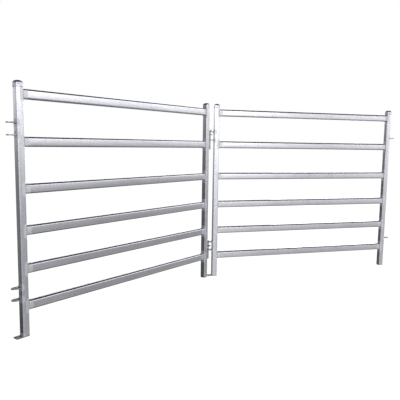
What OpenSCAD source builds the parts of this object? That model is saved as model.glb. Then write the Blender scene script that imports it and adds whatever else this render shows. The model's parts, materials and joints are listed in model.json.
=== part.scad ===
// Portable cattle-yard panels: two welded panels of oval rail, joined by a pinned lug hinge.
// The origin is where the hinge axis meets the floor, under the right panel's foot plate.
// +X runs along the right panel, +Y to the back and +Z up. The open side of the fold faces -Y.

/* [Panels] */
// Width of a panel over its two posts
panel_w = 2100; // [1500:10:3000]
// Height of a panel from the floor to the top of its caps
panel_h = 1790; // [1787:1:1900]
// Fold of the left panel out of line with the right one, in degrees
fold = 35; // [-70:1:105]

/* [Posts] */
// Side of the square post tube
post_size = 50; // [45:1:60]
// Wall of the post tube
post_wall = 2; // [1.6:0.1:2.9]
// Outside corner radius of the post tube
post_corner = 4; // [3:0.5:6]

/* [Rails] */
// Height of the oval rail section
rail_h = 70; // [50:1:80]
// Depth of the oval rail section from front to back
rail_d = 40; // [38:1:45]
// Radius of the section's corners, between its flat sides
rail_corner = 14; // [8:1:18]
// Wall of the rail tube
rail_wall = 1.6; // [1.2:0.1:3]
// Middle of the lowest rail above the floor
rail_1_z = 223; // [150:1:300]
// Middle of the second rail above the floor
rail_2_z = 489; // [400:1:570]
// Middle of the third rail above the floor
rail_3_z = 762; // [670:1:850]
// Middle of the fourth rail above the floor
rail_4_z = 1054; // [950:1:1150]
// Middle of the fifth rail above the floor
rail_5_z = 1378; // [1250:1:1480]
// Middle of the top rail above the floor
rail_6_z = 1700; // [1580:1:1705]

/* [Caps] */
// Overall height of a post cap, skirt and dome
cap_h = 46; // [40:1:50]
// Sheet thickness of a cap
cap_wall = 2; // [1.5:0.1:3]
// Rise of the dome above the top of the skirt
dome_rise = 22; // [12:1:24]

/* [Hinge lugs] */
// Width of the flat bar that lugs and foot plates are cut from
bar_w = 50; // [44:1:56]
// Thickness of that flat bar
bar_t = 8; // [6:1:10]
// Distance from the outside face of a post to the hinge axis
pin_reach = 42; // [40:1:48]
// Hole in every lug
lug_bore = 18; // [17:0.5:20]
// Height of the middle of the lower pair of ears
lower_pair_z = 321; // [300:1:340]
// Height of the middle of the upper pair of ears
upper_pair_z = 1465; // [1450:1:1480]
// Distance between the middles of the two ears of a pair
ear_pitch = 84; // [70:1:90]
// Height of the lower tongue, which sits between the lower ears
lower_tongue_z = 323; // [310:1:335]
// Height of the upper tongue, which sits between the upper ears
upper_tongue_z = 1478; // [1460:1:1490]

/* [Foot plates] */
// Reach of a foot plate beyond the outside face of its post
foot_reach = 50; // [46:1:75]

/* [Drop pins] */
// Diameter of the round bar of a pin
pin_d = 14; // [12:0.5:15]
// Length of the straight shank below the bend
shank = 180; // [150:1:220]
// Bend radius on the middle line of the bar
bend_r = 13; // [12:0.5:16]
// Reach of the handle from the hinge axis
handle_reach = 36; // [30:1:38]
// Depth of the shank's bend inside the upper ear, where it comes to rest
bend_drop = 4; // [2:0.5:5]
// Length of the tapered point
point_h = 8; // [5:1:12]

/* [Hidden] */
// Smoothness of round surfaces
$fn = 96;
// Cutters run this far past the faces that they cut
eps = 1;
// A pin's point narrows to this share of the bar
point_share = 0.5;

SIDES = ["right", "left"];
RAIL_Z = [rail_1_z, rail_2_z, rail_3_z, rail_4_z, rail_5_z, rail_6_z];
EAR_Z = [
    lower_pair_z - ear_pitch / 2,
    lower_pair_z + ear_pitch / 2,
    upper_pair_z - ear_pitch / 2,
    upper_pair_z + ear_pitch / 2
];
TONGUE_Z = [lower_tongue_z, upper_tongue_z];
PIN_Z = [EAR_Z[1] + bar_t / 2 - bend_drop, EAR_Z[3] + bar_t / 2 - bend_drop];
PIN_NAMES = ["lower_pin", "upper_pin"];

ear_post_x = pin_reach + post_size / 2;
tongue_post_x = pin_reach + panel_w - post_size / 2;
tongue_x = panel_w + 2 * pin_reach;
rail_x = pin_reach + post_size;
rail_len = panel_w - 2 * post_size;
post_top = panel_h - dome_rise - cap_wall;
post_bore = post_size - 2 * post_wall;
cap_size = post_size + 2 * cap_wall;
cap_corner = post_corner + cap_wall;

function piece_names(stem, count) = [for (i = [1 : count]) str(stem, i)];

PIECES = concat(
    ["ear_post", "tongue_post", "ear_post_cap", "tongue_post_cap", "foot_plate"],
    piece_names("rail_", len(RAIL_Z)),
    piece_names("ear_", len(EAR_Z)),
    piece_names("tongue_", len(TONGUE_Z))
);

// Rectangle outline with round corners, centred
module round_rect(width, height, radius) {
    square([width - 2 * radius, height], center = true);
    square([width, height - 2 * radius], center = true);
    for (x = [-1, 1], y = [-1, 1])
        translate([x * (width / 2 - radius), y * (height / 2 - radius)])
            circle(r = radius);
}

// Square tube standing from bottom to top
module post(bottom, top) {
    color("silver")
        translate([0, 0, bottom])
            difference() {
                linear_extrude(top - bottom)
                    round_rect(post_size, post_size, post_corner);
                translate([0, 0, -eps])
                    linear_extrude(top - bottom + 2 * eps)
                        round_rect(post_bore, post_bore, post_corner - post_wall);
            }
}

// Post that carries the ears, welded on top of the foot plate
module ear_post() {
    translate([ear_post_x, 0, 0])
        post(bar_t, post_top);
}

// Post that carries the tongues, cut off square at the floor
module tongue_post() {
    translate([tongue_post_x, 0, 0])
        post(0, post_top);
}

// Block of a cap: a square prism up to the eaves, then a cushion between two crossed barrels
module cap_block(size, radius, bottom, top, rise) {
    barrel_r = (size * size / 4 + rise * rise) / (2 * rise);
    eaves = top - rise;
    translate([0, 0, bottom])
        linear_extrude(eaves - bottom)
            round_rect(size, size, radius);
    intersection() {
        translate([0, 0, eaves])
            linear_extrude(rise)
                round_rect(size, size, radius);
        translate([0, 0, top - barrel_r])
            rotate([90, 0, 0])
                cylinder(r = barrel_r, h = 2 * size, center = true);
        translate([0, 0, top - barrel_r])
            rotate([0, 90, 0])
                cylinder(r = barrel_r, h = 2 * size, center = true);
    }
}

// Pressed sheet cap, a tight fit over the post
module post_cap() {
    color("gainsboro")
        difference() {
            cap_block(cap_size, cap_corner, panel_h - cap_h, panel_h, dome_rise);
            cap_block(post_size, post_corner, panel_h - cap_h - eps, panel_h - cap_wall, dome_rise);
        }
}

module ear_post_cap() {
    translate([ear_post_x, 0, 0])
        post_cap();
}

module tongue_post_cap() {
    translate([tongue_post_x, 0, 0])
        post_cap();
}

// Oval rail tube between the posts, butt-welded to both
module rail(z) {
    color("lightsteelblue")
        translate([rail_x, 0, z])
            rotate([90, 0, 90])
                difference() {
                    linear_extrude(rail_len)
                        round_rect(rail_d, rail_h, rail_corner);
                    translate([0, 0, -eps])
                        linear_extrude(rail_len + 2 * eps)
                            round_rect(
                                rail_d - 2 * rail_wall,
                                rail_h - 2 * rail_wall,
                                rail_corner - rail_wall
                            );
                }
}

// Flat lug with a round end about the hole, its square end on a post towards +X
module lug() {
    translate([0, 0, -bar_t / 2])
        difference() {
            union() {
                cylinder(d = bar_w, h = bar_t);
                translate([0, -bar_w / 2, 0])
                    cube([pin_reach, bar_w, bar_t]);
            }
            translate([0, 0, -eps])
                cylinder(d = lug_bore, h = bar_t + 2 * eps);
        }
}

// One of the ears that take the next panel's tongue between them
module ear(z) {
    color("dimgray")
        translate([0, 0, z])
            lug();
}

// Single lug on the other post, which goes between two ears
module tongue(z) {
    color("dimgray")
        translate([tongue_x, 0, z])
            rotate([0, 0, 180])
                lug();
}

// Flat bar under the ear post that stops it sinking, its tip just past the hinge axis
module foot_plate() {
    color("dimgray")
        translate([pin_reach - foot_reach, -bar_w / 2, 0])
            cube([foot_reach + post_size, bar_w, bar_t]);
}

// Bent round bar that drops through an ear, a tongue and an ear, handle towards the front
module drop_pin(z) {
    color("slategray")
        translate([0, 0, z]) {
            translate([0, 0, point_h - shank])
                cylinder(d = pin_d, h = shank - point_h);
            translate([0, 0, -shank])
                cylinder(d1 = pin_d * point_share, d2 = pin_d, h = point_h);
            translate([0, -bend_r, 0])
                rotate([90, 0, 90])
                    rotate_extrude(angle = 90)
                        translate([bend_r, 0])
                            circle(d = pin_d);
            translate([0, -bend_r, bend_r])
                rotate([90, 0, 0])
                    cylinder(d = pin_d, h = handle_reach - bend_r);
        }
}

// Stands a piece of either panel in its place: the left one ends at the hinge axis, folded
module in_panel(side) {
    if (side == "right")
        children();
    else
        rotate([0, 0, fold])
            translate([-tongue_x, 0, 0])
                children();
}

for (side = SIDES) {
    in_panel(side) ear_post();
    in_panel(side) tongue_post();
    in_panel(side) ear_post_cap();
    in_panel(side) tongue_post_cap();
    in_panel(side) foot_plate();
    for (i = [0 : len(RAIL_Z) - 1])
        in_panel(side) rail(RAIL_Z[i]);
    for (i = [0 : len(EAR_Z) - 1])
        in_panel(side) ear(EAR_Z[i]);
    for (i = [0 : len(TONGUE_Z) - 1])
        in_panel(side) tongue(TONGUE_Z[i]);
}
for (i = [0 : len(PIN_NAMES) - 1])
    drop_pin(PIN_Z[i]);
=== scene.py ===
"""Looks for a pair of portable cattle-yard panels, welded from galvanised tube and pinned together.

Every piece is made in a panel's own frame and then stood in the row's frame: x runs along the
panel from the hinge axis at its ears, y to the back, z up from the floor. Lengths are metres.
"""

import json
import math

import bpy
import numpy as np
from bpy.props import FloatProperty, FloatVectorProperty, IntProperty, PointerProperty
from mathutils import Matrix, Vector


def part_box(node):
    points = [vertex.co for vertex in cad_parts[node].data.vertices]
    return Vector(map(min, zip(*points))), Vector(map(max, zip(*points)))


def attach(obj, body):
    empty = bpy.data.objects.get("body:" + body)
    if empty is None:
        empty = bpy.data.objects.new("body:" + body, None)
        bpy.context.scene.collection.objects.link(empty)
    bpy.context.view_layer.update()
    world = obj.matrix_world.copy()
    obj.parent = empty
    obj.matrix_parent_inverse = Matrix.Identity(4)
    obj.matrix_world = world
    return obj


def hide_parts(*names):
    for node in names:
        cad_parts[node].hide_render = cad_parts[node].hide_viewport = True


bl_info = {
    "name": "Cattle Yard Panels",
    "version": (1, 0, 0),
    "blender": (4, 5, 0),
    "location": "View3D > Sidebar > Yard Panels",
    "description": "Builds two hinged yard panels of galvanised tube, piece by piece",
    "category": "Object",
}

MM = 0.001

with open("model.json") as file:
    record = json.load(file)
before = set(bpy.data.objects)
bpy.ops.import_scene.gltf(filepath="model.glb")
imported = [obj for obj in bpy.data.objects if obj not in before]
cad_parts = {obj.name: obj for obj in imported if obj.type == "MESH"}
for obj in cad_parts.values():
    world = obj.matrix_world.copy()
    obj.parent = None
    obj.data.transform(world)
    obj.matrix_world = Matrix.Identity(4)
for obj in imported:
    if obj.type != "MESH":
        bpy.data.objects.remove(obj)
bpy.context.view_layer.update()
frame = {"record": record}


def corners(node):
    """Lowest and highest corner of a CAD node, as vectors."""
    low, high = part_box(node)
    return Vector(low), Vector(high)


def middle_z(node):
    """Height of the middle of a CAD node."""
    low, high = corners(node)
    return (low.z + high.z) / 2


# Sizes of the panels, read from the right-hand one, whose own frame is the row's frame
SIDES = ("right", "left")
BODY = {"right": "right_panel", "left": "left_panel"}
POST_LOW, POST_HIGH = corners("right_ear_post")
FAR_LOW, FAR_HIGH = corners("right_tongue_post")
POST = POST_HIGH.x - POST_LOW.x
RAIL_LOW, RAIL_HIGH = corners("right_rail_1")
RAIL_DEPTH = RAIL_HIGH.y - RAIL_LOW.y
RAIL_HEIGHT = RAIL_HIGH.z - RAIL_LOW.z
RAIL_LENGTH = RAIL_HIGH.x - RAIL_LOW.x
RAIL_NODES = [f"rail_{i}" for i in range(1, 7)]
EAR_NODES = [f"ear_{i}" for i in range(1, 5)]
TONGUE_NODES = ["tongue_1", "tongue_2"]
RAIL_Z = [middle_z(f"right_{n}") for n in RAIL_NODES]
EAR_Z = [middle_z(f"right_{n}") for n in EAR_NODES]
TONGUE_Z = [middle_z(f"right_{n}") for n in TONGUE_NODES]
LUG_LOW, LUG_HIGH = corners("right_ear_1")
LUG_THICK = LUG_HIGH.z - LUG_LOW.z
LUG_END = -LUG_LOW.x
FOOT_LOW, FOOT_HIGH = corners("right_foot_plate")
MOUNTS = {m["name"]: m for m in frame["record"]["mounts"]}
BORE = MOUNTS["left_ear_1_bore"]["dims"]["r_mm"] * MM
FAR_AXIS = Vector(MOUNTS["left_foot"]["pos_m"])
HINGE_PITCH = FAR_AXIS.length
FOLD = math.atan2(-FAR_AXIS.y, -FAR_AXIS.x)
PLACE = {
    "right": Matrix.Identity(4),
    "left": Matrix.Rotation(FOLD, 4, "Z") @ Matrix.Translation((-HINGE_PITCH, 0, 0)),
}

# Sizes that the frame doesn't hold
POST_WALL = 2 * MM
POST_CORNER = 4 * MM
RING_STEP = 10 * MM
CAP_SHEET = 2 * MM
CAP_CORNER = 6 * MM
CAP_DOME = 22 * MM
RAIL_CORNER = 14 * MM
PIN_BEND = 13 * MM
PIN_POINT = 8 * MM
WELD_ATTRIBUTE = "weld_distance"

# Weld paint reaches less far round the lugs, and on the posts, by these lengths
LUG_WELD_EXTRA = 16 * MM
POST_WELD_EXTRA = 12 * MM

# Weld distances are measured for this many vertices at a time
DISTANCE_BATCH = 2000

# The bore of a post needs a ring only at every twentieth level of its outside
BORE_RING_EVERY = 20

PAINT_ROUGHNESS = 0.42
PAINT_METALLIC = 0.85
RAIL_RINGS = 61

# Light of the stage
TENT_STRENGTH = 1.8
TENT_COLOUR = "fafaff"
FLOOR_GLOW = 0.96
FLOOR_HALF = 60.0
CAMERA_PLACE = (-1.451, -4.698, 1.378)
SENSOR_WIDTH = 36.0


def linear(hex_colour):
    """Linear RGBA of an sRGB hex colour such as "c4c8cf"."""
    values = [int(hex_colour[i : i + 2], 16) / 255 for i in (0, 2, 4)]
    return tuple(v / 12.92 if v <= 0.04045 else ((v + 0.055) / 1.055) ** 2.4 for v in values) + (1.0,)


def colour_property(name, text, hex_colour):
    """A colour setting whose default is a hex colour."""
    return FloatVectorProperty(
        name=name, description=text, subtype="COLOR", size=4, min=0, max=1, default=linear(hex_colour)
    )


class YardPanelFinish(bpy.types.PropertyGroup):
    """Colours and grain of the steel."""

    tube: colour_property("Tube", "Zinc on the posts and rails", "cecfd1")
    tube_dull: colour_property("Tube, dull", "Older zinc between the bright crystals", "aeafb2")
    paint: colour_property("Weld paint", "Zinc-dust paint brushed over the welds", "cacbcd")
    cap: colour_property("Caps", "Zinc-plated pressed caps", "cbc7d4")
    lug: colour_property("Lugs", "Flat bar of the lugs and foot plates", "a9abae")
    pin: colour_property("Pins", "Round bar of the drop pins", "b2b4b7")
    spangle: FloatProperty(
        name="Spangle", description="Width of a zinc crystal", default=14 * MM, min=2 * MM, unit="LENGTH"
    )
    paint_reach: FloatProperty(
        name="Paint reach", description="How far weld paint goes from a weld", default=38 * MM, unit="LENGTH"
    )


class YardPanelWelds(bpy.types.PropertyGroup):
    """Sizes of the weld beads."""

    bead: FloatProperty(name="Bead", description="Radius of a bead", default=3.2 * MM, unit="LENGTH")
    pitch: FloatProperty(
        name="Ripple pitch", description="Distance between two ripples", default=3.4 * MM, unit="LENGTH"
    )
    seed: IntProperty(name="Seed", description="Picks the ripples' uneven sizes", default=7)


class YardPanelStage(bpy.types.PropertyGroup):
    """Camera and light."""

    lens: FloatProperty(name="Lens", description="Focal length", default=42.89, unit="CAMERA")
    heading: FloatProperty(
        name="Heading", description="Camera turn about +Z", default=math.radians(-16.08), subtype="ANGLE"
    )
    tilt: FloatProperty(
        name="Tilt", description="Camera tilt below level", default=math.radians(6.66), subtype="ANGLE"
    )
    roll: FloatProperty(
        name="Roll", description="Camera roll about its own axis", default=math.radians(0.84), subtype="ANGLE"
    )
    key: FloatProperty(
        name="Key light", description="Power of the front softbox", default=40.0, unit="POWER"
    )
    fill: FloatProperty(
        name="Back light", description="Power of the rear softbox", default=50.0, unit="POWER"
    )


# ---------------------------------------------------------------- meshes


def rounded_ring(half_x, half_y, radius, z, centre=(0.0, 0.0), arc_steps=6, flat_steps=4):
    """Points of a level rectangle with round corners, anticlockwise from the middle of its +x side."""
    points = []
    quarters = ((1, 1, 0), (-1, 1, 90), (-1, -1, 180), (1, -1, 270))
    for sign_x, sign_y, start in quarters:
        cx, cy = sign_x * (half_x - radius), sign_y * (half_y - radius)
        for step in range(arc_steps + 1):
            angle = math.radians(start + 90 * step / arc_steps)
            points.append((cx + radius * math.cos(angle), cy + radius * math.sin(angle)))
    full = []
    for i, a in enumerate(points):
        full.append(a)
        if i % (arc_steps + 1) == arc_steps:
            b = points[(i + 1) % len(points)]
            for step in range(1, flat_steps):
                share = step / flat_steps
                full.append((a[0] + (b[0] - a[0]) * share, a[1] + (b[1] - a[1]) * share))
    return [Vector((centre[0] + x, centre[1] + y, z)) for x, y in full]


def loft(name, rings, wrap=False, smooth_angle=35):
    """Mesh through rings of equal count, closed by a face at each end, or end to end with wrap.

    The UV map is in metres: u runs along the rings, v round them.
    """
    count = len(rings[0])
    vertices = [p for ring in rings for p in ring]
    steps = len(rings) if wrap else len(rings) - 1
    along = [0.0]
    for a, b in zip(rings, rings[1:] + rings[:1]):
        along.append(along[-1] + max((q - p).length for p, q in zip(a, b)))
    faces, uvs = [], []
    widest = max(rings, key=lambda ring: sum((q - p).length for p, q in zip(ring, ring[1:])))
    round_it = [0.0]
    for p, q in zip(widest, widest[1:] + widest[:1]):
        round_it.append(round_it[-1] + (q - p).length)
    for i in range(steps):
        j = (i + 1) % len(rings)
        for k in range(count):
            m = (k + 1) % count
            faces.append((i * count + k, i * count + m, j * count + m, j * count + k))
            u0, u1, v0, v1 = along[i], along[i + 1], round_it[k], round_it[k + 1]
            uvs += [(u0, v0), (u0, v1), (u1, v1), (u1, v0)]
    if not wrap:
        last = (len(rings) - 1) * count
        faces.append(tuple(reversed(range(count))))
        faces.append(tuple(range(last, last + count)))
        for ring in (list(reversed(rings[0])), rings[-1]):
            uvs += [(p.x + p.z, p.y) for p in ring]
    mesh = bpy.data.meshes.new(name)
    mesh.from_pydata(vertices, [], faces)
    layer = mesh.uv_layers.new(name="UVMap")
    layer.data.foreach_set("uv", np.array(uvs, dtype=np.float32).ravel())
    finish_shading(mesh, smooth_angle)
    return mesh


def finish_shading(mesh, smooth_angle=35):
    """Smooth shading with sharp edges where faces turn by more than the angle."""
    mesh.validate()
    mesh.shade_smooth()
    mesh.set_sharp_from_angle(angle=math.radians(smooth_angle))


def join_meshes(name, meshes):
    """One mesh that holds them all."""
    objects = [bpy.data.objects.new(f"{name}_{i}", mesh) for i, mesh in enumerate(meshes)]
    for obj in objects:
        bpy.context.scene.collection.objects.link(obj)
    with bpy.context.temp_override(
        active_object=objects[0], object=objects[0], selected_editable_objects=objects
    ):
        bpy.ops.object.join()
    joined = objects[0].data
    bpy.data.objects.remove(objects[0])
    joined.name = name
    return joined


def add_piece(name, mesh, side, body, material, nodes):
    """Stands a mesh of a panel's own frame in the row's frame, as a piece on a body."""
    mesh.transform(PLACE[side])
    mesh.name = name
    mesh.materials.clear()
    mesh.materials.append(material)
    obj = bpy.data.objects.new(name, mesh)
    bpy.context.scene.collection.objects.link(obj)
    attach(obj, body)
    if nodes:
        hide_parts(*nodes)
    return obj


# ---------------------------------------------------------------- weld paths


def rail_path(x, clear):
    """Closed path round a rail's end, at x, standing clear of the rail's surface."""
    ring = rounded_ring(RAIL_DEPTH / 2 + clear, RAIL_HEIGHT / 2 + clear, RAIL_CORNER + clear, 0.0)
    return [Vector((x, p.x, p.y)) for p in ring]


def bar_path(x, z):
    """Straight path across a bar's root, as long as the bar is wide less its corners."""
    reach = LUG_HIGH.y - POST_CORNER
    return [Vector((x, -reach, z)), Vector((x, reach, z))]


def rail_weld_paths(clear=1 * MM):
    """Closed paths of the welds between the rails and the two posts."""
    paths = []
    for x in (RAIL_LOW.x + clear, RAIL_HIGH.x - clear):
        for z in RAIL_Z:
            paths.append([p + Vector((0, 0, z)) for p in rail_path(x, clear)])
    return paths


def lug_weld_paths(clear=0.6 * MM):
    """Open paths of the welds above and below each lug, and on top of the foot plate."""
    paths = []
    for x, heights in ((POST_LOW.x - clear, EAR_Z), (FAR_HIGH.x + clear, TONGUE_Z)):
        for z in heights:
            for way in (-1, 1):
                paths.append(bar_path(x, z + way * (LUG_THICK / 2 + clear)))
    paths.append(bar_path(POST_LOW.x - clear, FOOT_HIGH.z + clear))
    return paths


def sample_paths(paths, closed, step=4 * MM):
    """Points along the paths, close enough to measure distances to."""
    points = []
    for path in paths:
        ends = path[1:] + path[:1] if closed else path[1:]
        for a, b in zip(path, ends):
            parts = max(1, int((b - a).length / step))
            points += [a.lerp(b, i / parts) for i in range(parts)]
        points.append(path[-1])
    return np.array([tuple(p) for p in points])


RAIL_WELD_POINTS = sample_paths(rail_weld_paths(), True)
LUG_WELD_POINTS = sample_paths(lug_weld_paths(), False)


def mark_weld_distance(mesh, rail_extra=0.0):
    """Stores each vertex's distance to the nearest weld, for the weld paint's edge."""
    places = np.empty(len(mesh.vertices) * 3)
    mesh.vertices.foreach_get("co", places)
    places = places.reshape(-1, 3)
    nearest = np.full(len(places), 1.0)
    for targets, extra in ((RAIL_WELD_POINTS, rail_extra), (LUG_WELD_POINTS, LUG_WELD_EXTRA)):
        for start in range(0, len(places), DISTANCE_BATCH):
            batch = slice(start, start + DISTANCE_BATCH)
            gap = places[batch, None, :] - targets[None]
            distance = np.sqrt((gap**2).sum(axis=2)).min(axis=1) + extra
            nearest[batch] = np.minimum(nearest[batch], distance)
    layer = mesh.attributes.new(WELD_ATTRIBUTE, "FLOAT", "POINT")
    layer.data.foreach_set("value", nearest.astype(np.float32))


# ---------------------------------------------------------------- materials


def add_node(tree, kind, inputs=None, **settings):
    """Adds a node: settings are its properties, inputs are values or sockets to link, by name or index."""
    made = tree.nodes.new(kind)
    for key, value in settings.items():
        setattr(made, key, value)
    for key, value in (inputs or {}).items():
        socket = made.inputs[key]
        if isinstance(value, bpy.types.NodeSocket):
            tree.links.new(value, socket)
        else:
            socket.default_value = value
    return made


def new_material(name):
    """An empty node material with its shader and output, and that shader."""
    material = bpy.data.materials.new(name)
    material.use_nodes = True
    tree = material.node_tree
    tree.nodes.clear()
    shader = add_node(tree, "ShaderNodeBsdfPrincipled")
    add_node(tree, "ShaderNodeOutputMaterial", {"Surface": shader.outputs[0]})
    return material, tree, shader


def blend_colours(tree, share, first, second):
    """Colour socket that goes from the first colour to the second as share goes from 0 to 1."""
    mix = add_node(tree, "ShaderNodeMix", data_type="RGBA")
    for index, value in ((0, share), (6, first), (7, second)):
        if isinstance(value, bpy.types.NodeSocket):
            tree.links.new(value, mix.inputs[index])
        else:
            mix.inputs[index].default_value = value
    return mix.outputs[2]


def ranged(tree, value, low, high, to_low, to_high, smooth=True):
    """Value socket mapped from one range to another, and held at its ends."""
    mapped = add_node(
        tree,
        "ShaderNodeMapRange",
        {"Value": value, "From Min": low, "From Max": high, "To Min": to_low, "To Max": to_high},
        interpolation_type="SMOOTHSTEP" if smooth else "LINEAR",
    )
    return mapped.outputs[0]


def galvanised_tube(finish):
    """Tube rolled from hot-dip galvanised strip, with zinc-dust paint over its welds.

    The strip's zinc froze into flat crystals and was drawn through rolls, so the eye gets a bright
    silver metal with faint crystal patches, fine lines along the tube and a slightly milky sheen. The
    brushed paint is duller and more even, with a wandering edge.
    """
    material, tree, shader = new_material("galvanised_tube")
    place = add_node(tree, "ShaderNodeTexCoord").outputs["Object"]
    along = add_node(tree, "ShaderNodeUVMap", uv_map="UVMap").outputs[0]
    crystals = add_node(
        tree, "ShaderNodeTexVoronoi", {"Vector": place, "Scale": 1 / finish.spangle, "Randomness": 1.0}
    )
    crystal_tone = add_node(tree, "ShaderNodeSeparateColor", {0: crystals.outputs["Color"]}).outputs[0]
    # Lines left by the rolls: 4 mm apart and about 250 mm long, so that they show
    lines_place = add_node(tree, "ShaderNodeMapping", {"Vector": along, "Scale": (4.0, 250.0, 1.0)})
    lines = add_node(
        tree, "ShaderNodeTexNoise", {"Vector": lines_place.outputs[0], "Scale": 1.0, "Detail": 3.0}
    ).outputs[0]
    # Streaks of duller zinc, about 25 mm wide and 400 mm long
    streaks_place = add_node(tree, "ShaderNodeMapping", {"Vector": along, "Scale": (2.5, 40.0, 1.0)})
    streaks = add_node(
        tree, "ShaderNodeTexNoise", {"Vector": streaks_place.outputs[0], "Scale": 1.0, "Detail": 4.0}
    ).outputs[0]
    mixed = add_node(tree, "ShaderNodeMath", {0: crystal_tone, 1: 0.25, 2: lines}, operation="MULTIPLY_ADD")
    patchy = add_node(tree, "ShaderNodeMath", {0: mixed.outputs[0], 1: streaks}, operation="ADD").outputs[0]
    dullness = ranged(tree, patchy, 0.75, 1.75, 0.0, 1.0)
    zinc = blend_colours(tree, dullness, finish.tube, finish.tube_dull)
    # The paint's edge wanders by about 10 mm
    gap = add_node(tree, "ShaderNodeAttribute", attribute_name=WELD_ATTRIBUTE).outputs["Fac"]
    wander = add_node(tree, "ShaderNodeTexNoise", {"Vector": place, "Scale": 60.0, "Detail": 3.0}).outputs[0]
    edge = add_node(tree, "ShaderNodeMath", {0: wander, 1: 20 * MM, 2: gap}, operation="MULTIPLY_ADD")
    reach = finish.paint_reach + 10 * MM
    painted = ranged(tree, edge.outputs[0], reach - 3 * MM, reach + 3 * MM, 1.0, 0.0)
    brush = add_node(tree, "ShaderNodeTexNoise", {"Vector": place, "Scale": 160.0, "Detail": 4.0}).outputs[0]
    brushed = ranged(tree, brush, 0.35, 0.7, 0.0, 0.35)
    paint_tone = blend_colours(tree, brushed, finish.paint, finish.tube_dull)
    tree.links.new(blend_colours(tree, painted, zinc, paint_tone), shader.inputs["Base Color"])
    zinc_rough = ranged(tree, patchy, 0.7, 1.8, 0.2, 0.3)
    rough = add_node(
        tree, "ShaderNodeMix", {0: painted, 2: zinc_rough, 3: PAINT_ROUGHNESS}, data_type="FLOAT"
    )
    tree.links.new(rough.outputs[0], shader.inputs["Roughness"])
    metallic = ranged(tree, painted, 0.0, 1.0, 1.0, PAINT_METALLIC, smooth=False)
    tree.links.new(metallic, shader.inputs["Metallic"])
    # Rolling lines, crystal edges and brush marks stand a few hundredths of a millimetre proud
    relief = add_node(tree, "ShaderNodeMix", {0: painted, 2: lines, 3: brush}, data_type="FLOAT")
    bump = add_node(
        tree, "ShaderNodeBump", {"Height": relief.outputs[0], "Distance": 0.15 * MM, "Strength": 0.22}
    )
    tree.links.new(bump.outputs[0], shader.inputs["Normal"])
    return material


def plated_steel(name, colour, rough, grain, relief, worn=1.0):
    """Steel with a thin zinc coat: dull, mottled at the size of the grain, paler where worn."""
    material, tree, shader = new_material(name)
    place = add_node(tree, "ShaderNodeTexCoord").outputs["Object"]
    mottle = add_node(
        tree, "ShaderNodeTexNoise", {"Vector": place, "Scale": 1 / grain, "Detail": 5.0, "Roughness": 0.6}
    ).outputs[0]
    pits = add_node(
        tree, "ShaderNodeTexNoise", {"Vector": place, "Scale": 8 / grain, "Detail": 3.0}
    ).outputs[0]
    dark = tuple(c * 0.62 for c in colour[:3]) + (1.0,)
    pale = tuple(min(1.0, c * (1 + 0.5 * worn)) for c in colour[:3]) + (1.0,)
    tone = blend_colours(tree, ranged(tree, mottle, 0.35, 0.65, 0.0, 1.0), dark, colour)
    tone = blend_colours(tree, ranged(tree, pits, 0.52, 0.72, 0.0, 0.8), tone, pale)
    tree.links.new(tone, shader.inputs["Base Color"])
    tree.links.new(ranged(tree, mottle, 0.3, 0.7, rough + 0.08, rough - 0.06), shader.inputs["Roughness"])
    shader.inputs["Metallic"].default_value = 1.0
    bump = add_node(tree, "ShaderNodeBump", {"Height": pits, "Distance": relief, "Strength": 0.6})
    tree.links.new(bump.outputs[0], shader.inputs["Normal"])
    return material


def rolled_flat_bar(finish):
    """Hot-rolled flat bar, cut and hot-dipped: dull grey zinc, rougher and darker than the tube's,
    mottled every 12 mm.
    """
    return plated_steel("galvanised_flat_bar", finish.lug, 0.46, 12 * MM, 0.3 * MM)


def bright_round_bar(finish):
    """Cold-bent round bar, zinc-plated: smoother and a little paler than the flat bar."""
    return plated_steel("plated_round_bar", finish.pin, 0.36, 9 * MM, 0.15 * MM)


def pressed_cap_sheet(finish):
    """Sheet pressed into a cap, plated and passivated: a thin violet-grey film over bright zinc."""
    return plated_steel("passivated_cap_sheet", finish.cap, 0.3, 16 * MM, 0.08 * MM, worn=0.4)


def painted_weld(finish):
    """Weld metal under brushed zinc-dust paint: pale, matt and grainy."""
    return plated_steel("painted_weld", finish.paint, 0.56, 5 * MM, 0.3 * MM, worn=0.2)


def material_once(maker):
    """The material that a maker gives, made on the first call only."""
    kept = material_once.kept
    if maker not in kept:
        kept[maker] = maker(bpy.context.scene.yard_finish)
    return kept[maker]


material_once.kept = {}


# ---------------------------------------------------------------- geometry node trees


def new_tree(name, sockets):
    """A geometry node tree with a geometry input and output, and further named inputs."""
    tree = bpy.data.node_groups.new(name, "GeometryNodeTree")
    tree.interface.new_socket("Geometry", in_out="INPUT", socket_type="NodeSocketGeometry")
    for label, kind in sockets:
        tree.interface.new_socket(label, in_out="INPUT", socket_type=kind)
    tree.interface.new_socket("Geometry", in_out="OUTPUT", socket_type="NodeSocketGeometry")
    return tree, add_node(tree, "NodeGroupInput").outputs


def run_tree(name, mesh, tree, values):
    """Plain mesh that the tree makes from a mesh, with its inputs set by identifier."""
    obj = bpy.data.objects.new(name, mesh)
    bpy.context.scene.collection.objects.link(obj)
    modifier = obj.modifiers.new(name, "NODES")
    modifier.node_group = tree
    identifiers = {item.name: item.identifier for item in tree.interface.items_tree if item.in_out == "INPUT"}
    for label, value in values.items():
        modifier[identifiers[label]] = value
    graph = bpy.context.evaluated_depsgraph_get()
    result = bpy.data.meshes.new_from_object(obj.evaluated_get(graph))
    obj.modifiers.remove(modifier)
    bpy.data.objects.remove(obj)
    return result


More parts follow.
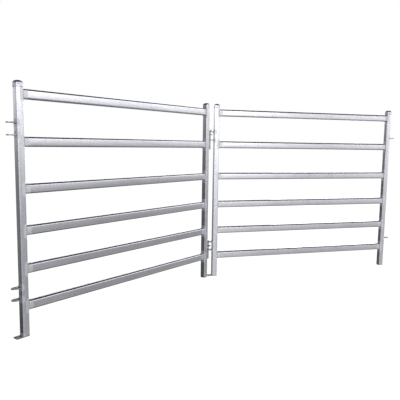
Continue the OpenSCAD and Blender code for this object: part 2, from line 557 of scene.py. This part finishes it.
def oval_rail_tree():
    """Flat-sided oval tubes along x, one from every vertex of the input mesh."""
    tree, given = new_tree(
        "oval_rails",
        [
            ("Height", "NodeSocketFloat"),
            ("Depth", "NodeSocketFloat"),
            ("Corner", "NodeSocketFloat"),
            ("Length", "NodeSocketFloat"),
            ("Rings", "NodeSocketInt"),
            ("Material", "NodeSocketMaterial"),
        ],
    )
    outline = add_node(
        tree, "GeometryNodeCurvePrimitiveQuadrilateral", {"Width": given["Depth"], "Height": given["Height"]}
    )
    oval = add_node(
        tree,
        "GeometryNodeFilletCurve",
        {"Curve": outline.outputs[0], "Radius": given["Corner"], "Count": 10},
        mode="POLY",
    )
    far_end = add_node(tree, "ShaderNodeCombineXYZ", {0: given["Length"]})
    line = add_node(tree, "GeometryNodeCurvePrimitiveLine", {"Start": (0, 0, 0), "End": far_end.outputs[0]})
    rings = add_node(tree, "GeometryNodeResampleCurve", {"Curve": line.outputs[0], "Count": given["Rings"]})
    # Rings stand closer near the welds: share of the length = t - 0.9 sin(2 pi t) / (2 pi)
    share = add_node(tree, "GeometryNodeSplineParameter").outputs[0]
    turn = add_node(tree, "ShaderNodeMath", {0: share, 1: 2 * math.pi}, operation="MULTIPLY").outputs[0]
    swing = add_node(tree, "ShaderNodeMath", {0: turn}, operation="SINE").outputs[0]
    eased = add_node(
        tree, "ShaderNodeMath", {0: swing, 1: -0.9 / (2 * math.pi), 2: share}, operation="MULTIPLY_ADD"
    ).outputs[0]
    distance = add_node(
        tree, "ShaderNodeMath", {0: eased, 1: given["Length"]}, operation="MULTIPLY"
    ).outputs[0]
    place = add_node(tree, "ShaderNodeCombineXYZ", {0: distance}).outputs[0]
    spread = add_node(tree, "GeometryNodeSetPosition", {"Geometry": rings.outputs[0], "Position": place})
    axis = add_node(
        tree,
        "GeometryNodeStoreNamedAttribute",
        {"Geometry": spread.outputs[0], "Name": "along", "Value": distance},
        data_type="FLOAT",
        domain="POINT",
    )
    around = add_node(tree, "GeometryNodeSplineParameter").outputs["Length"]
    profile = add_node(
        tree,
        "GeometryNodeStoreNamedAttribute",
        {"Geometry": oval.outputs[0], "Name": "around", "Value": around},
        data_type="FLOAT",
        domain="POINT",
    )
    tube = add_node(
        tree,
        "GeometryNodeCurveToMesh",
        {"Curve": axis.outputs[0], "Profile Curve": profile.outputs[0], "Fill Caps": True},
    )
    placed = add_node(
        tree, "GeometryNodeInstanceOnPoints", {"Points": given["Geometry"], "Instance": tube.outputs[0]}
    )
    real = add_node(tree, "GeometryNodeRealizeInstances", {"Geometry": placed.outputs[0]})
    finished = add_node(
        tree, "GeometryNodeSetMaterial", {"Geometry": real.outputs[0], "Material": given["Material"]}
    )
    add_node(tree, "NodeGroupOutput", {0: finished.outputs[0]})
    return tree


def weld_bead_tree():
    """Overlapping ripples of weld metal along every edge path of the input mesh."""
    tree, given = new_tree(
        "weld_beads",
        [
            ("Bead", "NodeSocketFloat"),
            ("Pitch", "NodeSocketFloat"),
            ("Seed", "NodeSocketInt"),
            ("Material", "NodeSocketMaterial"),
        ],
    )
    path = add_node(tree, "GeometryNodeMeshToCurve", {"Mesh": given["Geometry"]})
    spaced = add_node(
        tree, "GeometryNodeResampleCurve", {"Curve": path.outputs[0], "Length": given["Pitch"]}, mode="LENGTH"
    )
    ripple = add_node(tree, "GeometryNodeMeshUVSphere", {"Segments": 8, "Rings": 5, "Radius": given["Bead"]})
    tangent = add_node(tree, "GeometryNodeInputTangent").outputs[0]
    aim = add_node(tree, "FunctionNodeAlignRotationToVector", {"Vector": tangent}, axis="X")
    uneven = add_node(
        tree,
        "FunctionNodeRandomValue",
        {"Min": (0.75, 0.85, 0.85), "Max": (0.95, 1.15, 1.15), "Seed": given["Seed"]},
        data_type="FLOAT_VECTOR",
    )
    placed = add_node(
        tree,
        "GeometryNodeInstanceOnPoints",
        {
            "Points": spaced.outputs[0],
            "Instance": ripple.outputs[0],
            "Rotation": aim.outputs[0],
            "Scale": uneven.outputs[0],
        },
    )
    real = add_node(tree, "GeometryNodeRealizeInstances", {"Geometry": placed.outputs[0]})
    finished = add_node(
        tree, "GeometryNodeSetMaterial", {"Geometry": real.outputs[0], "Material": given["Material"]}
    )
    add_node(tree, "NodeGroupOutput", {0: finished.outputs[0]})
    return tree


def path_mesh(name, closed_paths, open_paths):
    """Mesh of edges only, along the paths."""
    vertices, edges = [], []
    for path, closed in [(p, True) for p in closed_paths] + [(p, False) for p in open_paths]:
        first = len(vertices)
        vertices += path
        edges += [(first + i, first + i + 1) for i in range(len(path) - 1)]
        if closed:
            edges.append((first + len(path) - 1, first))
    mesh = bpy.data.meshes.new(name)
    mesh.from_pydata(vertices, edges, [])
    return mesh


# ---------------------------------------------------------------- pieces


def post_mesh(name, low, high):
    """Square tube with rounded edges and an open bore, between two corners of its box."""
    centre = ((low.x + high.x) / 2, (low.y + high.y) / 2)
    half = POST / 2
    count = max(2, round((high.z - low.z) / RING_STEP))
    levels = [low.z + (high.z - low.z) * i / count for i in range(count + 1)]
    outside = [rounded_ring(half, half, POST_CORNER, z, centre) for z in levels]
    inner = half - POST_WALL
    bore_corner = POST_CORNER - POST_WALL
    inside = [rounded_ring(inner, inner, bore_corner, z, centre) for z in reversed(levels[::BORE_RING_EVERY])]
    return loft(name, outside + inside, wrap=True)


def cap_mesh(name, low, high):
    """Pressed cap: a skirt over the post, round shoulders and a cushion-shaped dome."""
    centre = ((low.x + high.x) / 2, (low.y + high.y) / 2)
    half = (high.x - low.x) / 2
    shoulder = high.z - CAP_DOME
    steps = 10

    def dome(size, corner, top, rise):
        # It ends 3 degrees short of its pole, where a small flat face closes it
        rings = []
        for i in range(1, steps + 1):
            turn = math.radians(87 * i / steps)
            reach = size * math.cos(turn) ** 0.8
            roundness = corner / size + (0.99 - corner / size) * math.sin(turn) ** 2
            level = top - rise + rise * math.sin(turn) ** 0.8
            rings.append(rounded_ring(reach, reach, reach * roundness, level, centre))
        return rings

    skirt = [
        rounded_ring(half - 0.5 * MM, half - 0.5 * MM, CAP_CORNER, low.z, centre),
        rounded_ring(half, half, CAP_CORNER, low.z + 0.8 * MM, centre),
        rounded_ring(half, half, CAP_CORNER, low.z + 3 * MM, centre),
        rounded_ring(half - 0.4 * MM, half - 0.4 * MM, CAP_CORNER, low.z + 5 * MM, centre),
        rounded_ring(half - 0.4 * MM, half - 0.4 * MM, CAP_CORNER, shoulder - 6 * MM, centre),
        rounded_ring(half, half, CAP_CORNER, shoulder, centre),
    ]
    inner = half - CAP_SHEET
    bore = [rounded_ring(inner, inner, CAP_CORNER - CAP_SHEET, z, centre) for z in (shoulder, low.z)]
    ceiling = dome(inner, CAP_CORNER - CAP_SHEET, high.z - CAP_SHEET, CAP_DOME - CAP_SHEET)
    rings = list(reversed(ceiling)) + bore + skirt + dome(half, CAP_CORNER, high.z, CAP_DOME)
    return loft(name, rings, smooth_angle=50)


def lug_outline():
    """Outline of a lug about its hole: a half circle towards -x and a square end on the post."""
    root, half = POST_LOW.x, LUG_END
    arc = [math.radians(a) for a in range(90, 271, 8)]
    points = [(half * math.cos(a), half * math.sin(a)) for a in arc]
    points += [(root * s / 5, -half) for s in range(1, 6)]
    points += [(root, half * s / 4) for s in range(-3, 4)]
    points += [(root * s / 5, half) for s in range(5, 0, -1)]
    return points


def lug_mesh(name, z, flip=False):
    """Flat bar with a drilled hole, its edges broken by a millimetre."""
    outline = lug_outline()
    break_edge, break_bore = 1.0 * MM, 0.7 * MM
    top, shoulder = LUG_THICK / 2, LUG_THICK / 2 - break_edge
    root_middle = POST_LOW.x / 2

    def outer(inset, level):
        share_y = 1 - inset / LUG_END
        half_length = (POST_LOW.x + LUG_END) / 2
        centre_x = root_middle - LUG_END / 2
        share_x = 1 - inset / half_length
        return [Vector((centre_x + (x - centre_x) * share_x, y * share_y, level)) for x, y in outline]

    def bore(radius, level):
        angles = [math.atan2(y, x) for x, y in outline]
        return [Vector((radius * math.cos(a), radius * math.sin(a), level)) for a in angles]

    rings = [
        bore(BORE, -top + break_bore),
        bore(BORE + break_bore, -top),
        outer(break_edge, -top),
        outer(0, -shoulder),
        outer(0, shoulder),
        outer(break_edge, top),
        bore(BORE + break_bore, top),
        bore(BORE, top - break_bore),
    ]
    mesh = loft(name, rings, wrap=True)
    turn = Matrix.Rotation(math.pi, 4, "Z") if flip else Matrix.Identity(4)
    mesh.transform(Matrix.Translation((HINGE_PITCH if flip else 0, 0, z)) @ turn)
    return mesh


def foot_mesh(name):
    """Flat bar under the post, cut square with its edges broken."""
    centre = ((FOOT_LOW.x + FOOT_HIGH.x) / 2, 0)
    half_x, half_y = (FOOT_HIGH.x - FOOT_LOW.x) / 2, (FOOT_HIGH.y - FOOT_LOW.y) / 2
    edge, corner = 1.0 * MM, 2.5 * MM
    levels = [(edge, FOOT_LOW.z), (0, FOOT_LOW.z + edge), (0, FOOT_HIGH.z - edge), (edge, FOOT_HIGH.z)]
    rings = [
        rounded_ring(half_x - inset, half_y - inset, corner, z, centre, flat_steps=10) for inset, z in levels
    ]
    return loft(name, rings)


def pin_mesh(name, low, high):
    """Round bar bent over at the top for a handle, with a tapered point."""
    radius = (high.x - low.x) / 2
    handle_z = high.z - radius
    shank_top = handle_z - PIN_BEND
    handle_end = low.y
    # Each stop: where the bar's middle is, which way the bar runs, and its radius there
    stops = [((0, 0, low.z), 0, 0.35), ((0, 0, low.z + 1 * MM), 0, 0.52), ((0, 0, low.z + PIN_POINT), 0, 1)]
    shank_low = low.z + PIN_POINT
    stops += [((0, 0, shank_low + (shank_top - shank_low) * i / 12), 0, 1) for i in range(1, 13)]
    for i in range(1, 11):
        turn = math.radians(9 * i)
        y = -PIN_BEND * (1 - math.cos(turn))
        stops.append(((0, y, shank_top + PIN_BEND * math.sin(turn)), turn, 1))
    right_angle = math.pi / 2
    reach = handle_end + PIN_BEND
    stops += [((0, -PIN_BEND + (reach + 1.5 * MM) * i / 3, handle_z), right_angle, 1) for i in (1, 2, 3)]
    stops.append(((0, handle_end + 0.4 * MM, handle_z), right_angle, 0.93))
    stops.append(((0, handle_end, handle_z), right_angle, 0.8))
    sides = 28
    rings = []
    for place, turn, share in stops:
        lift = Vector((0, math.cos(turn), math.sin(turn)))
        ring = []
        for k in range(sides):
            angle = 2 * math.pi * k / sides
            outwards = math.cos(angle) * Vector((1, 0, 0)) + math.sin(angle) * lift
            ring.append(Vector(place) + radius * share * outwards)
        rings.append(ring)
    return loft(name, rings)


class YARD_OT_posts(bpy.types.Operator):
    """Add the square posts, with a weld distance for their paint"""

    bl_idname = "yard_panel.add_posts"
    bl_label = "Posts"

    def execute(self, context):
        for side in SIDES:
            for node, low, high in (
                ("ear_post", POST_LOW, POST_HIGH),
                ("tongue_post", FAR_LOW, FAR_HIGH),
            ):
                mesh = post_mesh(node, low, high)
                mark_weld_distance(mesh, POST_WELD_EXTRA)
                name = f"{side}_{node}"
                add_piece(
                    f"{name}_tube", mesh, side, BODY[side], material_once(galvanised_tube), [name]
                )
        return {"FINISHED"}


class YARD_OT_rails(bpy.types.Operator):
    """Add the oval rails of each panel"""

    bl_idname = "yard_panel.add_rails"
    bl_label = "Rails"

    def execute(self, context):
        tree = oval_rail_tree()
        material = material_once(galvanised_tube)
        for side in SIDES:
            starts = bpy.data.meshes.new("rail_starts")
            starts.from_pydata([(RAIL_LOW.x, 0, z) for z in RAIL_Z], [], [])
            values = {
                "Height": RAIL_HEIGHT,
                "Depth": RAIL_DEPTH,
                "Corner": RAIL_CORNER,
                "Length": RAIL_LENGTH,
                "Rings": RAIL_RINGS,
                "Material": material,
            }
            mesh = run_tree(f"{side}_rails", starts, tree, values)
            lay_rail_map(mesh)
            finish_shading(mesh)
            mark_weld_distance(mesh)
            nodes = [f"{side}_{n}" for n in RAIL_NODES]
            add_piece(f"{side}_rails", mesh, side, BODY[side], material, nodes)
        return {"FINISHED"}


def lay_rail_map(mesh):
    """UV map in metres from the two distances that the rail tree leaves on the mesh."""
    along = np.empty(len(mesh.vertices))
    around = np.empty(len(mesh.vertices))
    mesh.attributes["along"].data.foreach_get("value", along)
    mesh.attributes["around"].data.foreach_get("value", around)
    corner_vertex = np.empty(len(mesh.loops), dtype=np.int32)
    mesh.loops.foreach_get("vertex_index", corner_vertex)
    heights = np.array([v.co.z for v in mesh.vertices])
    # Each rail takes its own stretch of the pattern
    shift = np.round(heights / RAIL_HEIGHT) * 0.37
    uv = np.stack([along + shift, around], axis=1)[corner_vertex]
    seam = around.max()
    for face in mesh.polygons:
        loops = list(face.loop_indices)
        values = uv[loops, 1]
        if values.max() - values.min() > seam / 2:
            uv[loops, 1] = np.where(values < seam / 2, values + seam, values)
    layer = mesh.uv_layers.new(name="UVMap")
    layer.data.foreach_set("uv", uv.astype(np.float32).ravel())


class YARD_OT_caps(bpy.types.Operator):
    """Add the pressed post caps"""

    bl_idname = "yard_panel.add_caps"
    bl_label = "Caps"

    def execute(self, context):
        for side in SIDES:
            for node in ("ear_post_cap", "tongue_post_cap"):
                low, high = corners(f"right_{node}")
                mesh = cap_mesh(node, low, high)
                name = f"{side}_{node}"
                material = material_once(pressed_cap_sheet)
                add_piece(f"{name}_pressing", mesh, side, BODY[side], material, [name])
        return {"FINISHED"}


class YARD_OT_lugs(bpy.types.Operator):
    """Add the ears and tongues of each panel"""

    bl_idname = "yard_panel.add_lugs"
    bl_label = "Hinge lugs"

    def execute(self, context):
        material = material_once(rolled_flat_bar)
        for side in SIDES:
            for group, names, heights, flip in (
                ("ears", EAR_NODES, EAR_Z, False),
                ("tongues", TONGUE_NODES, TONGUE_Z, True),
            ):
                mesh = join_meshes(group, [lug_mesh(n, z, flip) for n, z in zip(names, heights)])
                nodes = [f"{side}_{n}" for n in names]
                add_piece(f"{side}_{group}", mesh, side, BODY[side], material, nodes)
        return {"FINISHED"}


class YARD_OT_foot_plates(bpy.types.Operator):
    """Add the foot plate of each panel"""

    bl_idname = "yard_panel.add_foot_plates"
    bl_label = "Foot plates"

    def execute(self, context):
        for side in SIDES:
            name = f"{side}_foot_plate"
            material = material_once(rolled_flat_bar)
            add_piece(f"{name}_bar", foot_mesh(name), side, BODY[side], material, [name])
        return {"FINISHED"}


class YARD_OT_pins(bpy.types.Operator):
    """Add the two drop pins of the hinge"""

    bl_idname = "yard_panel.add_pins"
    bl_label = "Drop pins"

    def execute(self, context):
        for name in ("lower_pin", "upper_pin"):
            mesh = pin_mesh(name, *corners(name))
            add_piece(f"{name}_bar", mesh, "right", name, material_once(bright_round_bar), [name])
        return {"FINISHED"}


class YARD_OT_welds(bpy.types.Operator):
    """Add the weld beads of each panel"""

    bl_idname = "yard_panel.add_welds"
    bl_label = "Welds"

    def execute(self, context):
        sizes = context.scene.yard_welds
        tree = weld_bead_tree()
        material = material_once(painted_weld)
        for side in SIDES:
            paths = path_mesh("weld_paths", rail_weld_paths(), lug_weld_paths())
            values = {"Bead": sizes.bead, "Pitch": sizes.pitch, "Seed": sizes.seed, "Material": material}
            mesh = run_tree(f"{side}_welds", paths, tree, values)
            finish_shading(mesh, 80)
            add_piece(f"{side}_welds", mesh, side, BODY[side], material, [])
        return {"FINISHED"}


# ---------------------------------------------------------------- stage


def ramp(tree, value, low, high, stops):
    """Value socket that follows a list of (value, result) stops between two ends."""
    share = ranged(tree, value, low, high, 0.0, 1.0, smooth=False)
    made = add_node(tree, "ShaderNodeValToRGB", {0: share})
    elements = made.color_ramp.elements
    while len(elements) < len(stops):
        elements.new(0.5)
    for element, (place, result) in zip(elements, stops):
        element.position = (place - low) / (high - low)
        element.color = (result, result, result, 1.0)
    return made.outputs[0]


def turn_ramp(tree, degrees, stops):
    """Value socket that follows stops round the horizon, each a compass turn from +x and a result."""
    return ramp(tree, degrees, -180, 180, stops)


def light_tent(scene):
    """World light of a tent of white cloth with dark gaps, white to look at.

    Its cloth is brightest in front, dimmer at the sides and dark overhead and under the floor line, which
    gives each rail its bright shoulder between a dark top edge and a dark underside.
    """
    world = bpy.data.worlds.new("light_tent")
    scene.world = world
    world.use_nodes = True
    tree = world.node_tree
    tree.nodes.clear()
    way = add_node(tree, "ShaderNodeTexCoord").outputs["Generated"]
    parts = add_node(tree, "ShaderNodeSeparateXYZ", {0: way}).outputs
    turn = add_node(tree, "ShaderNodeMath", {0: parts[1], 1: parts[0]}, operation="ARCTAN2").outputs[0]
    degrees = add_node(tree, "ShaderNodeMath", {0: turn}, operation="DEGREES").outputs[0]
    cloth = turn_ramp(
        tree,
        degrees,
        [(-180, 0.14), (-125, 0.8), (-76, 1.65), (-61, 0.88), (-50, 1.12), (-25, 0.9), (-13, 0.63)]
        + [(-2, 0.9), (45, 0.65), (108, 0.62), (127, 0.05), (143, 0.6), (157, 0.36), (180, 0.14)],
    )
    # The cloth's top edge hangs lower in front and at the back, its foot fades slowest in front
    above = add_node(tree, "ShaderNodeMath", {0: parts[2], 1: 0.0}, operation="MAXIMUM").outputs[0]
    below = add_node(tree, "ShaderNodeMath", {0: parts[2], 1: 0.0}, operation="MINIMUM").outputs[0]
    drop = turn_ramp(
        tree,
        degrees,
        [(-180, 0.6), (-90, 0.7), (-60, 1.1), (-35, 0.8), (-11, 0.52), (70, 0.62), (155, 0.9)],
    )
    fade = turn_ramp(
        tree, degrees, [(-180, 0.6), (-74, 0.26), (-53, 0.22), (-11, 0.4), (110, 0.4), (155, 0.9)]
    )
    sunk = add_node(tree, "ShaderNodeMath", {0: below, 1: fade}, operation="MULTIPLY").outputs[0]
    stretched = add_node(
        tree, "ShaderNodeMath", {0: above, 1: drop, 2: sunk}, operation="MULTIPLY_ADD"
    ).outputs[0]
    height = ramp(
        tree,
        stretched,
        -0.4,
        0.4,
        [(-0.4, 0.08), (-0.28, 0.15), (-0.2, 0.42), (-0.12, 0.34), (-0.04, 0.36), (0, 0.74), (0.045, 1.2)]
        + [(0.09, 1.6), (0.19, 1.8), (0.23, 0.25), (0.27, 0.05), (0.4, 0.04)],
    )
    level = add_node(tree, "ShaderNodeMath", {0: cloth, 1: height}, operation="MULTIPLY").outputs[0]
    # A thin place in the cloth, to the right of the front and just above eye level
    thin_turn = turn_ramp(tree, degrees, [(-74, 0.0), (-64, 0.8), (-57, 1.0), (-46, 0.0)])
    thin_height = ramp(
        tree, parts[2], -0.4, 0.4, [(-0.1, 0.0), (0.0, 0.25), (0.07, 0.55), (0.22, 0.55), (0.32, 0.0)]
    )
    thin = add_node(tree, "ShaderNodeMath", {0: thin_turn, 1: thin_height}, operation="MULTIPLY").outputs[0]
    whole = add_node(tree, "ShaderNodeMath", {0: 1.0, 1: thin}, operation="SUBTRACT").outputs[0]
    kept = add_node(tree, "ShaderNodeMath", {0: level, 1: whole}, operation="MULTIPLY").outputs[0]
    strength = add_node(tree, "ShaderNodeMath", {0: kept, 1: TENT_STRENGTH}, operation="MULTIPLY").outputs[0]
    lit = add_node(tree, "ShaderNodeBackground", {"Color": linear(TENT_COLOUR), "Strength": strength})
    seen = add_node(tree, "ShaderNodeBackground", {"Color": (1, 1, 1, 1), "Strength": 1.0})
    direct = add_node(tree, "ShaderNodeLightPath").outputs["Is Camera Ray"]
    both = add_node(tree, "ShaderNodeMixShader", {0: direct, 1: lit.outputs[0], 2: seen.outputs[0]})
    add_node(tree, "ShaderNodeOutputWorld", {"Surface": both.outputs[0]})


def pale_floor(scene):
    """Large pale floor that glows almost white and throws no light up at the panels."""
    material = bpy.data.materials.new("pale_floor")
    material.use_nodes = True
    tree = material.node_tree
    tree.nodes.clear()
    glow = add_node(tree, "ShaderNodeEmission", {"Color": (1, 1, 1, 1), "Strength": FLOOR_GLOW})
    matt = add_node(tree, "ShaderNodeBsdfDiffuse", {"Color": (0.3, 0.3, 0.3, 1)})
    both = add_node(tree, "ShaderNodeAddShader", {0: glow.outputs[0], 1: matt.outputs[0]})
    add_node(tree, "ShaderNodeOutputMaterial", {"Surface": both.outputs[0]})
    mesh = bpy.data.meshes.new("floor")
    signs = ((-1, -1), (1, -1), (1, 1), (-1, 1))
    mesh.from_pydata([(x * FLOOR_HALF, y * FLOOR_HALF, 0) for x, y in signs], [], [(0, 1, 2, 3)])
    mesh.materials.append(material)
    floor = bpy.data.objects.new("floor", mesh)
    scene.collection.objects.link(floor)
    floor.visible_diffuse = False
    floor.visible_glossy = False
    floor.visible_shadow = False


def softbox(scene, name, power, place, target, size):
    """Square area light aimed at a point."""
    data = bpy.data.lights.new(name, "AREA")
    data.energy = power
    data.size = size
    lamp = bpy.data.objects.new(name, data)
    scene.collection.objects.link(lamp)
    lamp.location = place
    lamp.rotation_euler = (Vector(target) - Vector(place)).to_track_quat("-Z", "Y").to_euler()


class YARD_OT_stage(bpy.types.Operator):
    """Set the floor, the lights and the camera"""

    bl_idname = "yard_panel.set_stage"
    bl_label = "Stage"

    def execute(self, context):
        scene = context.scene
        stage = scene.yard_stage
        light_tent(scene)
        pale_floor(scene)
        softbox(scene, "key_softbox", stage.key, (-0.6, -5.0, 4.6), (0.0, -0.3, 1.1), 3.0)
        softbox(scene, "back_softbox", stage.fill, (4.4, 5.2, 1.6), (0.2, -0.2, 0.9), 2.4)
        data = bpy.data.cameras.new("camera")
        data.lens = stage.lens
        data.sensor_width = SENSOR_WIDTH
        camera = bpy.data.objects.new("camera", data)
        scene.collection.objects.link(camera)
        place = Matrix.Translation(CAMERA_PLACE)
        heading = Matrix.Rotation(stage.heading, 4, "Z")
        tilt = Matrix.Rotation(math.pi / 2 - stage.tilt, 4, "X")
        roll = Matrix.Rotation(stage.roll, 4, "Z")
        camera.matrix_world = place @ heading @ tilt @ roll
        scene.camera = camera
        scene.view_settings.view_transform = "Standard"
        return {"FINISHED"}


STEPS = (
    YARD_OT_posts,
    YARD_OT_rails,
    YARD_OT_caps,
    YARD_OT_lugs,
    YARD_OT_foot_plates,
    YARD_OT_pins,
    YARD_OT_welds,
    YARD_OT_stage,
)


class YARD_PT_panel(bpy.types.Panel):
    """Sidebar panel with a button for each group of pieces"""

    bl_idname = "YARD_PT_panel"
    bl_label = "Yard Panels"
    bl_space_type = "VIEW_3D"
    bl_region_type = "UI"
    bl_category = "Yard Panels"

    def draw(self, context):
        for step in STEPS:
            self.layout.operator(step.bl_idname)
        for group in (context.scene.yard_finish, context.scene.yard_welds, context.scene.yard_stage):
            box = self.layout.box()
            for name in group.__annotations__:
                box.prop(group, name)


CLASSES = (YardPanelFinish, YardPanelWelds, YardPanelStage, *STEPS, YARD_PT_panel)


def register():
    """Registers the classes and hangs the settings on the scene."""
    for cls in CLASSES:
        bpy.utils.register_class(cls)
    bpy.types.Scene.yard_finish = PointerProperty(type=YardPanelFinish)
    bpy.types.Scene.yard_welds = PointerProperty(type=YardPanelWelds)
    bpy.types.Scene.yard_stage = PointerProperty(type=YardPanelStage)


def unregister():
    """Takes the settings and the classes away again."""
    del bpy.types.Scene.yard_stage
    del bpy.types.Scene.yard_welds
    del bpy.types.Scene.yard_finish
    for cls in reversed(CLASSES):
        bpy.utils.unregister_class(cls)


def main():
    """Registers the add-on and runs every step."""
    register()
    for step in STEPS:
        group, _, name = step.bl_idname.partition(".")
        getattr(getattr(bpy.ops, group), name)()


if __name__ == "__main__":
    main()
